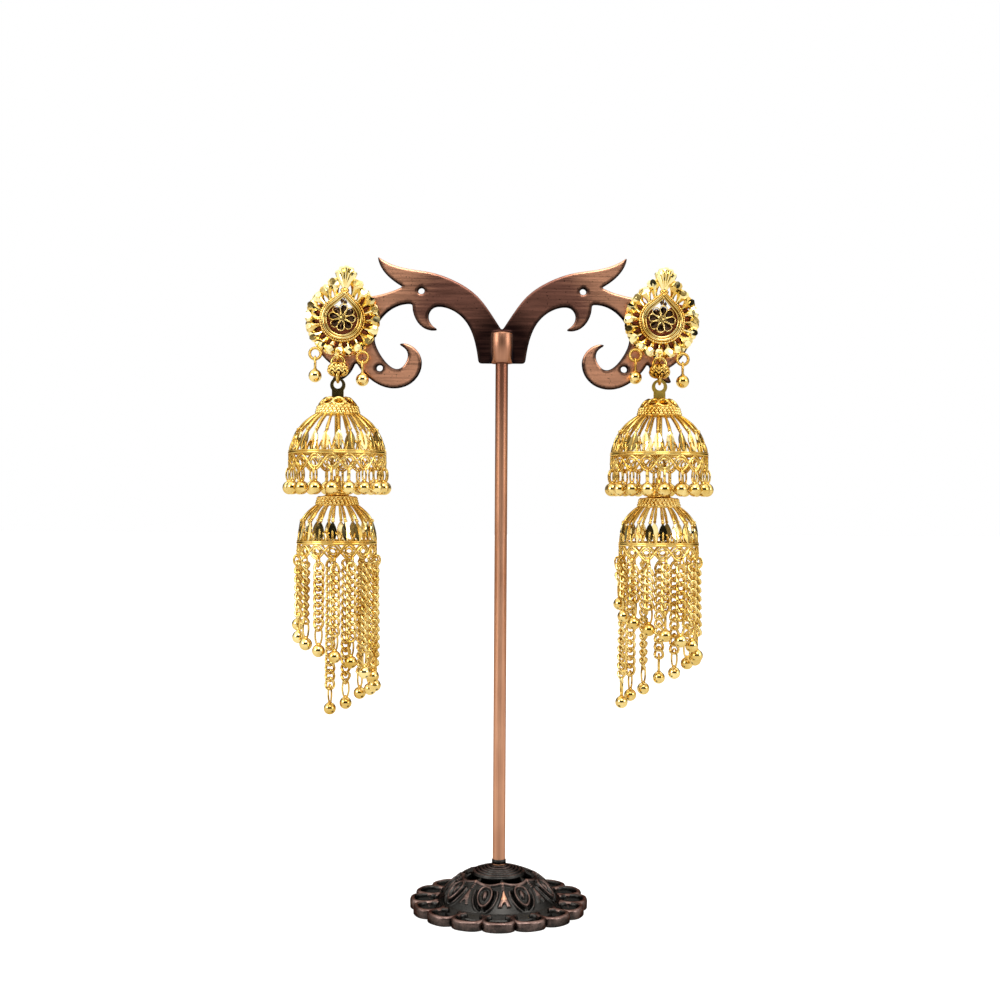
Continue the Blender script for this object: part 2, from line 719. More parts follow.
# %% [markdown]
# ## Drops, links and chains
#
# A ball drop is a wire eye, a twist of wire and a plated ball. A curb link is a ring twisted so
# that it lies flat against the next: its two ends lean opposite ways, which is what makes a curb
# chain look braided. A formula for one twisted ring, copied down the chain, gives the whole fringe
# for a few thousand faces a chain.

# %% Ball drops and links
def ball_on_eye(radius, eye_top, width):
    """A drop in the xz plane: a ball round the origin, its cap and seam, and its long eye."""
    middle, height = (radius + eye_top) / 2, (eye_top - radius) / 2
    eye = moved(ring(width, 0.2, 22, 7, "xz", height + 0.1), shift(z=middle - 0.1))
    cap = lathe([(0.5, radius - 0.16), (0.36, radius + 0.12), (0.2, radius + 0.3),
                 (0.0, radius + 0.34)], 12)
    seam = ring(radius - 0.05, 0.05, 28, 5, "xy")
    return ((ball(radius, 22, 12), BRIGHT), (eye, WIRE), (cap, CAST), (seam, WIRE))


def curb_link(turn):
    """One twisted link round the origin, with the chain running along z."""
    half_width, twist, half_length, wire = 0.83, 0.46, 1.14, 0.305
    angles = tau * np.arange(16) / 16
    path = np.stack([half_width * np.cos(angles), turn * twist * np.sin(2 * angles),
                     half_length * np.sin(angles)], axis=1)
    return tube(path, wire, 8, True, (0, 1, 0))


print("a curb link:", len(curb_link(1)[1]), "faces")

# %% The row of balls
def bead_row(node, name, body):
    """The row of balls that hangs from the upper skirt."""
    low, high = box_mm(node)
    ball_radius = 1.34
    radius = (high[1] - low[1]) / 2 - ball_radius - 0.01
    place = shift(x=radius, z=low[2] + ball_radius)
    form = Form()
    for shape, finish in ball_on_eye(ball_radius, high[2] - low[2] - ball_radius + 0.6, 0.62):
        form.around(shape, 18, -90, place, finish=finish)
    return make_piece(name, form, body, GOLDS, (node,), place=shift(*((low + high) / 2)[:2]))


# %% A chain of the fringe
LINK_PITCH = 1.62


def chain_piece(node, name, body, axis, seed):
    """A jump ring, curb links, a long wire eye and a ball. seed says how the chain has twisted."""
    low, high = box_mm(node)
    middle = (low + high) / 2
    outward = middle[:2] - axis
    facing = np.degrees(np.arctan2(outward[1], outward[0]))
    ball_radius, eye_length, ring_length = (high[0] - low[0]) / 2, 3.0, 0.9
    run = high[2] - low[2] - ring_length - eye_length - 2 * ball_radius
    links = round(run / LINK_PITCH)
    pitch = run / links
    form = Form()
    jump_ring = spin("z", facing) @ shift(x=0.35, z=high[2] - 0.35)
    form.add(ring(0.62, 0.2, 20, 7, "xz", 1.0), jump_ring, finish=WIRE)
    link, twist = curb_link(-1), facing + 90 + 42 * sin(seed * 2.4)
    for place in range(links):
        sway = 11 * sin(seed + place * 0.5)
        where = shift(z=high[2] - ring_length - (place + 0.5) * pitch) @ spin("z", twist + sway)
        form.add(link, where, finish=BRIGHT)
    for shape, finish in ball_on_eye(ball_radius, ball_radius + eye_length + 0.6, 0.66):
        hang = shift(z=low[2] + ball_radius) @ spin("z", twist + 50 * sin(seed * 1.3))
        form.add(shape, hang, finish=finish)
    return make_piece(name, form, body, GOLDS, (node,), place=shift(*middle[:2]))


# %% [markdown]
# ## The stud plate
#
# The plate is a drop with a point at the top. Fluted rays spread from a beaded border, and each
# ends in a cut facet that leans out. Inside the border, a smooth bezel frames a window with an
# eight-petalled flower. The drop outline is a circle with two tangents, so one formula places the
# rays, the beading and the bezels.

# %% The drop outline
def drop_point(angle, radius, point):
    """A point of the drop outline, at an angle from its bottom, round its centre."""
    tangent = pi - acos(radius / point)
    turn = abs((angle + pi) % tau - pi)
    reach = radius if turn <= tangent else radius / cos(turn - tangent)
    return reach * sin(angle), -reach * cos(angle)


def drop_path(radius, point, steps):
    """Evenly spaced points along the drop outline, in the xz plane."""
    dense = np.array([drop_point(tau * step / 720, radius, point) for step in range(720)])
    lengths = np.linalg.norm(np.roll(dense, -1, axis=0) - dense, axis=1)
    along = np.concatenate([[0], np.cumsum(lengths)[:-1]])
    wanted = np.arange(steps) / steps * lengths.sum()
    x, z = np.interp(wanted, along, dense[:, 0]), np.interp(wanted, along, dense[:, 1])
    return np.stack([x, np.zeros(steps), z], axis=1)


print("the window's drop outline reaches", drop_path(3.3, 4.65, 96).max(axis=0).round(2), "mm")

# %% Blades, petals and facets
def blade(length, rows):
    """A fluted blade along +Z that faces -Y. A row is how far along, how wide, how far forward."""
    points = []
    for along, width, rise in rows:
        z = along * length
        points += [(-width / 2, 0.35, z), (-width / 2, -rise * 0.35, z), (-width * 0.08, -rise, z),
                   (width * 0.12, -rise * 0.9, z), (width / 2, -rise * 0.2, z),
                   (width / 2, 0.35, z)]
    faces = grid(len(rows), 6, False, True)
    last = 6 * len(rows) - 6
    return np.array(points), faces + [tuple(reversed(range(6))), tuple(range(last, last + 6))]


def petal_outline(length, width):
    """The outline of a pear-shaped petal along +Z, in the xz plane."""
    side = [(0.1, 0.22), (0.3 * width, 0.45), (0.5 * width, 0.68), (0.44 * width, 0.88),
            (0.2 * width, 0.98)]
    outline = side + [(-x, z) for x, z in reversed(side)]
    return np.array([(x, 0, z * length) for x, z in outline])


def petal(length, width):
    """A cut petal that faces -Y."""
    outline = [(x, z) for x, _, z in petal_outline(length, width)]
    shape = gem(outline, 0.35, 0.14, [(0.0, length * 0.5), (0.0, length * 0.8)])
    return moved(shape, spin("z", -90))


def facet(width, height, thickness=0.2):
    """A small rounded facet that faces -Y."""
    outline = [(width * cos(turn), height * sin(turn)) for turn in np.arange(8) * tau / 8]
    return moved(gem(outline, thickness, 0.03, [(0.0, 0.0)]), spin("z", -90))


print("a petal:", len(petal(2.5, 1.25)[1]), "faces")

# %% The rays and the shell
def ray_ring(form, top, seed):
    """Broad rays that touch at their tips, with a drop-shaped opening between their feet."""
    rows = ((0.0, 0.75, 0.5), (0.22, 0.9, 0.75), (0.42, 1.45, 0.95), (0.6, 2.25, 1.1),
            (0.86, 2.5, 0.9), (1.0, 1.65, 0.25))
    rays, shell_height = 21, 1.9
    inner, outer = drop_path(4.45, 5.9, rays), drop_path(7.4, 10.6, rays)
    for step, (near, far) in enumerate(zip(inner, outer)):
        if far[2] > top - shell_height:
            continue
        run = np.hypot(far[0] - near[0], far[2] - near[2])
        lean = np.degrees(np.arctan2(far[0] - near[0], far[2] - near[2]))
        roll = 11 * sin(step * 1.9 + seed)
        place = shift(near[0], -0.4, near[2]) @ spin("y", lean) @ spin("z", roll)
        form.add(blade(run, rows), place, finish=(CUT, BRIGHT)[step % 2], smooth=False)
        tilt = -20 - 16 * sin(step * 2.3 + seed)
        finish = BAIL if sin(step * 2.1 + seed * 1.4) > 0.55 else CUT
        seat = shift(0.15 * sin(step), -0.92, run * 0.8) @ spin("x", tilt)
        form.add(facet(0.62, 0.78), place @ seat, finish=finish, smooth=False)


def shell(form, top):
    """The scalloped shell over the point: five cut flutes that spread from its foot."""
    foot = shift(0, -0.75, top - 4.9)
    rows = ((0.12, 0.5, 0.3), (0.45, 0.85, 0.6), (0.75, 1.2, 0.75), (0.92, 1.15, 0.55),
            (1.0, 0.7, 0.15))
    for lean, length in ((-25, 4.2), (-12.5, 4.7), (0, 4.85), (12.5, 4.7), (25, 4.2)):
        flute = blade(length, rows)
        spread = foot @ spin("y", -lean) @ spin("x", 5) @ spin("z", lean * 0.5)
        form.add(flute, spread, finish=CUT, smooth=False)
    form.add(ball(0.6, 12, 8), foot @ scale(1.5, 0.8, 0.9), finish=CAST)


# %% [markdown]
# The window draws the eye, so it is built like the real one, in layers. Two bezels and a milled
# edge stand round it, and the flower lies in it on a hollow. Its petals are cut plates that lean
# this way and that and mirror the dark hollow, so they get the shaded gold, and a bright wire rim
# keeps each apart from the next.

# %% The window and its flower
def window(form):
    """The bezels, the milled edge, the flower and the two leaves above it."""
    bezels = ((4.35, 5.75, 0.24, 0.8, CAST), (3.85, 5.2, 0.27, 1.4, BRIGHT),
              (3.3, 4.65, 0.24, 1.2, BRIGHT))
    for radius, point, wire, forward, finish in bezels:
        bezel = tube(drop_path(radius, point, 96), wire, 8, True)
        form.add(bezel, shift(0, -forward, 0), finish=finish)
    form.add(tube(drop_path(3.8, 5.15, 96), 0.52, 6, True), shift(0, -0.75, 0), finish=CAST)
    form.add(granules(drop_path(4.35, 5.75, 62), 0.25), shift(0, -1.1, 0), finish=BRIGHT)
    middle = 0.3
    petal_rim = tube(petal_outline(2.7, 1.5) - np.array([0, 0.3, 0]), 0.12, 6, True)
    for step in range(8):
        turn = shift(0, -0.8, middle) @ spin("y", 45 * step + 4) @ spin("x", 5 - 9 * (step % 2))
        form.add(petal(2.5, 1.25), turn, finish=SHADED, smooth=False)
        form.add(petal_rim, turn, finish=BRIGHT)
    form.add(ball(0.6, 8, 5), shift(0, -1.05, middle), finish=BAIL, smooth=False)
    for x, z in ((-0.36, 3.55), (0.38, 3.3)):
        leaf = gem([(0, -0.55), (0.36, 0.1), (0.0, 0.6), (-0.36, 0.1)], 0.3, 0.15, [(0, 0.05)])
        form.add(leaf, shift(x, -1.0, z) @ spin("z", -90), finish=SHADED, smooth=False)
    form.add(tube([(0, 0, 2.6), (0, 0, 4.8)], 0.14, 6), shift(0, -0.75, 0), finish=WIRE)


# %% [markdown]
# The plate is drawn upright round the post and then leans, so that its eye comes to hang straight
# over the bell. The link's ring hangs on the eye, and both of their heights are known from the CAD
# boxes, so the lean is the angle of the line from the post to that point.

# %% The whole stud plate
def stud_plate_piece(side_name, hang_x, seed):
    """The rays, the window, the shell, five cut beads and the eye, all leaning round the post."""
    low, high = box_mm(f"{side_name}_stud_plate")
    post_low, post_high = box_mm(f"{side_name}_ear_post")
    post = (post_low + post_high) / 2
    pivot_z = box_mm(f"{side_name}_link_rosette")[1][2] - 0.35
    offset, drop = hang_x - post[0], pivot_z - post[2]
    lean, eye = np.degrees(np.arctan2(-offset, -drop)), -np.hypot(offset, drop)
    top, back = high[2] - post[2], high[1]
    form = Form()
    ray_ring(form, top, seed)
    window(form)
    shell(form, top)
    form.add(tube(drop_path(6.3, 8.9, 90), 0.24, 6, True), shift(0, -0.2, 0), finish=CAST)
    for x, z, size in ((0.0, -6.4, 1.0), (1.85, -6.2, 1.05), (3.5, -5.55, 0.95)):
        for side in (-1, 1) if x else (1,):
            place = shift(side * x, -1.1, z) @ spin("y", 20 * side * x) @ spin("x", 15)
            form.add(ball(size, 7, 5), place, finish=CUT, smooth=False)
    reach = low[1] + 1.0 - back
    form.add(ring(0.78, 0.24, 24, 8, "yz"), shift(0, reach, eye), finish=WIRE)
    bracket = tube([(0, -0.4, 0), (0, reach - 0.2, 0)], 0.4, 8, up=(0, 0, 1))
    form.add(bracket, shift(z=eye + 1.1), finish=CAST)
    return make_piece(f"{side_name}_stud", form, "stand", GOLDS, (f"{side_name}_stud_plate",),
                      place=shift(post[0], back, post[2]) @ spin("y", lean))


# %% [markdown]
# ## The link and the side drops
#
# The link between the plate and the bell is an arched ring, a tulip-shaped bead and a small ring.
# The bead has a dark core in a cage of wires: two zigzags round its widest line, and ribs above and
# below them.

# %% The link
def zigzag(radius, height, swing, points):
    """A wire that zigzags round a bead, from one height to another and back."""
    steps = 6
    angles = tau * np.arange(points * steps) / (points * steps)
    wave = np.abs((np.arange(points * steps) / steps % 1) - 0.5) * 4 - 1
    lean = radius - 0.25 * np.abs(wave) ** 2
    path = np.stack([lean * np.cos(angles), lean * np.sin(angles), height + swing * wave], axis=1)
    return tube(path, 0.19, 7, True, (0, 0, 1))


def link_piece(node, name, body, axis_x, hang_y):
    """The arched ring, the tulip bead with its zigzags, and the small ring."""
    low, high = box_mm(node)
    form = Form()
    form.add(ring(1.2, 0.32, 32, 8), shift(z=high[2] - 1.52), finish=WIRE)
    bottom, top = low[2] + 1.6, high[2] - 1.75
    middle = (bottom + top) / 2
    core = [(0.0, bottom), (0.6, bottom), (1.35, bottom + 0.35), (1.8, middle - 0.1),
            (1.62, middle + 0.55), (1.0, top - 0.1), (0.5, top + 0.1), (0.0, top + 0.1)]
    form.add(lathe(core, 32), finish=SHADED)
    form.add(zigzag(1.98, middle - 0.15, 0.42, 9), finish=WIRE)
    form.add(zigzag(1.86, middle + 0.42, 0.36, 9), finish=WIRE)
    rib = bend((0.35, 0, top + 0.15), (1.5, 0, top), (1.72, 0, middle + 0.3), 6)
    form.around(tube(rib, 0.24, 7), 9, 20, finish=WIRE)
    cup = bend((0.3, 0, bottom - 0.02), (1.5, 0, bottom - 0.05), (1.85, 0, middle - 0.45), 6)
    form.around(tube(cup, 0.26, 7), 9, 0, finish=CAST)
    form.add(ring(1.15, 0.3, 32, 8, "yz"), shift(z=low[2] + 1.45), finish=WIRE)
    return make_piece(name, form, body, GOLDS, (node,), place=shift(axis_x, hang_y, 0))


# %% [markdown]
# Two ball drops hang from milled rings at the lower corners of the plate, in front of it. Behind
# the arm, a round screw back closes the post. Its edge is knurled with upright teeth, so that
# fingers can turn it.

# %% Side drops and the screw back
def side_drop_piece(node, name, body):
    """A milled ring with a ball on a long eye."""
    low, high = box_mm(node)
    middle = (low + high) / 2
    form = Form()
    ball_radius, ring_z = 1.3, high[2] - 1.5
    form.add(ring(1.1, 0.3, 32, 8), shift(z=ring_z), finish=WIRE)
    milled = ellipse(1.12, 1.12, 20, "xz") + np.array([0, -0.2, ring_z])
    form.add(granules(milled, 0.24), finish=CAST)
    for shape, finish in ball_on_eye(ball_radius, ring_z - 1.0 - low[2] - ball_radius + 0.4, 0.5):
        form.add(shape, shift(z=low[2] + ball_radius) @ spin("z", 90), finish=finish)
    return make_piece(name, form, body, GOLDS, (node,), place=shift(middle[0], middle[1], 0))


def ear_post_piece(node, name, body):
    """The post with its round screw back and 36 teeth."""
    low, high = box_mm(node)
    middle, radius, back, depth = (low + high) / 2, (high[0] - low[0]) / 2, high[1], 2.4
    rows = [(0.0, 0.0), (radius * 0.78, 0.0), (radius * 0.92, 0.15), (radius * 0.92, depth - 0.3),
            (radius * 0.7, depth), (0.8, depth), (0.7, depth + 0.2), (0.0, depth + 0.2)]
    form = Form()
    turn = spin("x", 90)
    form.add(lathe(rows, 48), turn, finish=CAST)
    tooth = tube([(radius * 0.93, 0, 0.3), (radius * 0.93, 0, depth - 0.45)], 0.17, 5, up=(0, 1, 0))
    for step in range(36):
        form.add(tooth, turn @ spin("z", 10 * step), finish=WIRE)
    form.add(tube([(0, -depth, 0), (0, low[1] - back, 0)], 0.44, 12, up=(0, 0, 1)), finish=CAST)
    return make_piece(name, form, body, GOLDS, (node,), place=shift(middle[0], back, middle[2]))


# %% [markdown]
# ## Both earrings
#
# The earrings are the same but for the lengths of their chains, so one loop builds both. Each piece
# takes its place from the CAD node that it stands for and rides on that node's body. The seed makes
# the facets and the chains of the two sides differ a little.

# %% Build both earrings
for side_name, seed in (("left", 1.0), ("right", 2.0)):
    link, upper_body = f"{side_name}_link", f"{side_name}_upper_drop"
    lower_body = f"{side_name}_lower_drop"
    link_low, link_high = box_mm(f"{side_name}_link_rosette")
    axis_x, hang_y = ((link_low + link_high) / 2)[:2]
    stud_plate_piece(side_name, axis_x, seed)
    ear_post_piece(f"{side_name}_ear_post", f"{side_name}_screw_back", "stand")
    for place in ("inner", "outer"):
        side_drop_piece(f"{side_name}_{place}_side_drop", f"{side_name}_{place}_drop", "stand")
    link_piece(f"{side_name}_link_rosette", f"{side_name}_tulip_link", link, axis_x, hang_y)
    upper_bell(f"{side_name}_upper_dome", f"{side_name}_upper_bell", upper_body)
    bead_row(f"{side_name}_upper_bead_drops", f"{side_name}_ball_row", upper_body)
    lower_bell(f"{side_name}_lower_dome", f"{side_name}_lower_bell", lower_body)
    chains = sorted(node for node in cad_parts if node.startswith(f"{side_name}_chain_"))
    for number, node in enumerate(chains, 1):
        chain_piece(node, f"{side_name}_curb_chain_{number:02d}", lower_body,
                    np.array([axis_x, hang_y]), seed * 20 + number)
    print(f"{side_name} earring: {len(chains)} chains")


# %% [markdown]
# ## The copper stand
#
# The stand is copper plate over cast metal. The pole is bright brushed copper, the arms are
# antiqued to a brown-black that has been rubbed back at the scrolls, and the base is darker still,
# with bare copper only where fingers and cloths reach. Heights and distances are in metres here,
# because that is the unit of the object coordinates that the nodes read.

# %% Brushed copper for the pole
def brushed_copper():
    """Brushed copper with fine upright streaks, darker where the pole meets the arms."""
    finish = Finish("brushed_copper")
    streaks = finish.noise((5.0, 5.0, 0.05), 3.0)
    cloud = finish.noise((0.3, 0.3, 0.1), 2.0)
    height = finish.part("Object", "Z")
    below_collar = height.above(0.086, 0.107) * (1 - height.above(0.108, 0.1095) * 0.7)
    shade = below_collar + height.above(0.0, 0.16) * 0.3
    tone = (streaks * 0.6 + cloud * 0.4).above(0.35, 0.65)
    colour = finish.mix(tone, (0.43, 0.205, 0.12, 1), (0.61, 0.315, 0.19, 1))
    colour = finish.mix(shade * 0.75, colour, (0.20, 0.075, 0.045, 1))
    return finish.surface(Base_Color=colour, Roughness=streaks * 0.15 + 0.3,
                          Specular_Tint=(0.45, 0.3, 0.24, 1),
                          Normal=finish.bump(streaks, 0.3, 0.02))


# %% [markdown]
# The colour of the arms is built in layers, as the metal's was: brown that pales away from the
# collar, warm copper where it is rubbed, black specks that the rubbing missed, red behind the stud
# plates where the gold is mirrored, and black edges. The edges come from a number that is stored on
# the mesh further down.

# %% Antique copper for the arms
post_low, post_high = box_mm("right_ear_post")
PLATE_CENTRE = (post_low + post_high)[[0, 2]] / 2 * MM
COLLAR = (0, 0, 110.5 * MM)


def antique_copper():
    """Dark by the collar, brown along the branch, warm at the scrolls, red behind the plates."""
    finish = Finish("antique_copper")
    away = finish.node("ShaderNodeVectorMath", {"operation": "DISTANCE"},
                       {0: finish.place(), 1: COLLAR}, output="Value")
    streaks = finish.noise((0.1, 0.5, 3.2), 4.0, 0.6)
    cloud = finish.noise((0.16, 0.16, 0.16), 2.0)
    speck = finish.noise((2.4, 2.4, 2.4), 2.0, 0.5)
    uneven = (cloud - 0.5) * 0.25 + (streaks - 0.5) * 0.5
    lower = (1 - finish.part("Object", "Z").above(0.113, 0.119)) * away.above(0.012, 0.016)
    across = finish.node("ShaderNodeMath", {"operation": "ABSOLUTE"},
                         {0: finish.part("Object", "X")})
    plate_x, plate_z = PLATE_CENTRE
    from_plate = ((across - plate_x) ** 2 + (finish.part("Object", "Z") - plate_z) ** 2) ** 0.5
    covered = 1 - from_plate.above(0.0055, 0.0085)
    front = (finish.part("Normal", "Y") * -1).above(0.2, 0.6)
    brown = finish.mix(away.above(0.005, 0.0115) + uneven, (0.022, 0.009, 0.008, 1),
                       (0.27, 0.115, 0.080, 1))
    rubbed = (away.above(0.014, 0.029) + lower + uneven).above(0.15, 0.9)
    face = finish.mix(rubbed, brown, (0.84, 0.405, 0.24, 1))
    face = finish.mix(speck.above(0.66, 0.74) * 0.8, face, (0.03, 0.015, 0.01, 1))
    face = finish.mix(covered * front * 0.85, face, (0.34, 0.075, 0.032, 1))
    black = finish.mix(cloud.above(0.4, 0.7), (0.004, 0.003, 0.004, 1), (0.035, 0.017, 0.012, 1))
    colour = finish.mix(finish.attribute("grime"), face, black)
    return finish.surface(Base_Color=colour, Roughness=streaks * 0.3 + 0.22,
                          Specular_Tint=(0.12, 0.08, 0.07, 1),
                          Normal=finish.bump(streaks * 0.6 + speck * 0.4, 0.25, 0.04))


# %% [markdown]
# The base is the darkest casting: nearly black in its hollows, brown where it swells, and bare
# copper on the highest places only. Wear could be painted by hand on an image. Here each point
# stores how exposed it is, and the finish turns that number into colour, so the wear always sits on
# the right edge.

# %% Dark copper for the base
def dark_copper():
    """Nearly black metal with copper bare on its raised, worn places."""
    finish = Finish("dark_copper")
    wear = finish.attribute("wear")
    cloud = finish.noise((0.35, 0.35, 0.35), 3.0)
    speck = finish.noise((2.6, 2.6, 2.6), 3.0, 0.6)
    grimy = (wear + (cloud - 0.5) * 0.5 + (speck - 0.5) * 0.4).above(0.35, 1.0)
    bare = (wear + (speck - 0.5) * 0.4).above(1.05, 1.5)
    black = finish.mix(speck, (0.011, 0.0115, 0.0105, 1), (0.054, 0.050, 0.046, 1))
    brown = finish.mix(cloud.above(0.35, 0.65), (0.13, 0.076, 0.062, 1), (0.23, 0.150, 0.128, 1))
    colour = finish.mix(bare, finish.mix(grimy, black, brown), (0.62, 0.33, 0.21, 1))
    return finish.surface(Base_Color=colour, Roughness=speck * 0.3 + 0.2,
                          Specular_Tint=(0.3, 0.25, 0.23, 1), Normal=finish.bump(speck, 0.3, 0.05))


pole_finish, arm_finish, base_finish = brushed_copper(), antique_copper(), dark_copper()
print("copper finishes:", [finish.name for finish in (pole_finish, arm_finish, base_finish)])

# %% Dress the CAD shapes that stay
def dress(node, finish):
    """Give a CAD node a finish, and leave its shape alone."""
    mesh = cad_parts[node].data
    if not mesh.materials:
        mesh.materials.append(finish)
    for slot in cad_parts[node].material_slots:
        slot.material = finish


dress("stand_pole", pole_finish)
for side_name, bail_finish in (("left", bail_gold), ("right", olive_gold)):
    dress(f"{side_name}_dome_bail", bail_finish)
    dress(f"{side_name}_lower_dome_hook", cast_gold)
print("the pole, the bails and the hooks keep their CAD shapes")

# %% [markdown]
# ### The arms
#
# The CAD outline of the arms is exact, but a casting has no sharp edges. A copy of that mesh is
# remeshed into small even cells and smoothed, which rounds every edge and inner corner alike, as
# tumbling and polishing do.

# %% Round the arms
def rounded_copy(node, name, body, cell, rounds, finish):
    """A copy of a CAD node with soft edges, which replaces it. cell is in millimetres."""
    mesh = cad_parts[node].data.copy()
    mesh.name = name
    mesh.materials.clear()
    mesh.materials.append(finish)
    piece = bpy.data.objects.new(name, mesh)
    bpy.context.scene.collection.objects.link(piece)
    remesh = piece.modifiers.new("cells", "REMESH")
    remesh.mode, remesh.voxel_size, remesh.use_smooth_shade = "VOXEL", cell * MM, True
    smooth = piece.modifiers.new("polish", "SMOOTH")
    smooth.factor, smooth.iterations = 0.5, rounds
    finished = piece.evaluated_get(bpy.context.evaluated_depsgraph_get())
    piece.data = bpy.data.meshes.new_from_object(finished)
    piece.modifiers.clear()
    print(f"{name}: {len(piece.data.polygons)} faces")
    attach(piece, body)
    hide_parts(node)
    return piece


# %% [markdown]
# The black of the antiquing stays on the sides of the casting, where no cloth reaches, and creeps a
# little over the edge of the faces. A point's normal says whether it is on a side, and a few rounds
# of handing the black on to the neighbours make it creep. The tops of the branches are rubbed bare
# again, but not the scrolls behind the stud plates.

# %% Blacken the edges
SCROLL_FROM, SCROLL_BELOW = 20, 119.2
CREEP = 0.92


def add_grime(mesh, rounds):
    """Store how black each point of the arms is."""
    places, normals = np.zeros(3 * len(mesh.vertices)), np.zeros(3 * len(mesh.vertices))
    mesh.vertices.foreach_get("co", places)
    mesh.vertices.foreach_get("normal", normals)
    places, normals = places.reshape(-1, 3) / MM, normals.reshape(-1, 3)
    edge = np.clip((0.985 - np.abs(normals[:, 1])) / 0.12, 0, 1)
    on_top = np.clip((normals[:, 2] - 0.05) / 0.35, 0, 1)
    in_scroll = (np.abs(places[:, 0]) > SCROLL_FROM) & (places[:, 2] < SCROLL_BELOW)
    grime = edge * np.where(in_scroll, 1, 1 - on_top)
    pairs = np.zeros(2 * len(mesh.edges), int)
    mesh.edges.foreach_get("vertices", pairs)
    first, second = pairs.reshape(-1, 2).T
    for _ in range(rounds):
        before = grime.copy()
        np.maximum.at(grime, first, before[second] * CREEP)
        np.maximum.at(grime, second, before[first] * CREEP)
    mesh.attributes.new("grime", "FLOAT", "POINT").data.foreach_set("value", grime)
    print(f"grime: {(grime > 0.5).mean():.0%} of the points are more black than copper")


arms = rounded_copy("stand_arms", "scrolled_arms", "stand", 0.2, 20, arm_finish)
add_grime(arms.data, 2)

# %% [markdown]
# The collar of the arms slips over the pole. A turned sleeve has crisp edges, unlike the casting
# beside it, so it is a lathe shape of its own. So is the ferrule that closes the joint between the
# pole and the base.

# %% The sleeve and the ferrule
def sleeve_piece():
    """The crisp sleeve over the arms' collar, and the ferrule at the foot of the pole."""
    foot, head = box_mm("stand_pole")
    form = Form()
    sleeve = [(1.3, 0.0), (2.15, 0.0), (2.32, 0.15), (2.32, 5.9), (2.24, 6.08), (2.0, 6.15),
              (0.0, 6.15)]
    form.add(lathe(sleeve, 48), shift(z=head[2]))
    ferrule = [(1.2, 0.0), (1.4, 0.0), (1.4, 0.7), (1.3, 0.85), (1.2, 0.85)]
    form.add(lathe(ferrule, 40), shift(z=foot[2] + 0.25), finish=1)
    return make_piece("sleeve_and_ferrule", form, "stand", (pole_finish, base_finish))


sleeve_piece()

# %% [markdown]
# ### The base
#
# The base is a pierced casting: a dome of concentric rings and eight repeats of an oval flower and
# a leaf, on a skirt that runs down to sixteen open loops. A polar grid with a height formula makes
# the dome. Each motif is written once in its own sector, and where the pattern is cut through, the
# faces are left out.

# %% The measures of the dome
BASE_RADIUS, _, BASE_TOP = box_mm("stand_base")[1]
DOME_ARC, DOME_APEX, DOME_EDGE = 14.3, 8.3, 11.9  # the radius of its arc, its top, where it ends
MOTIFS = 8
LEAF_TURN = 6  # how far the leaf nearest the front is turned from it, in degrees
FIRST_MOTIF = radians(-90 + LEAF_TURN + 180 / MOTIFS)
print("base:", round(2 * BASE_RADIUS, 2), "mm across,", round(BASE_TOP, 2), "mm high")

# %% The pattern of the dome
def ridge(distance, half_width):
    """A round ridge: 1 on its line, 0 past its half width."""
    return np.sqrt(np.clip(1 - (distance / half_width) ** 2, 0, 1))


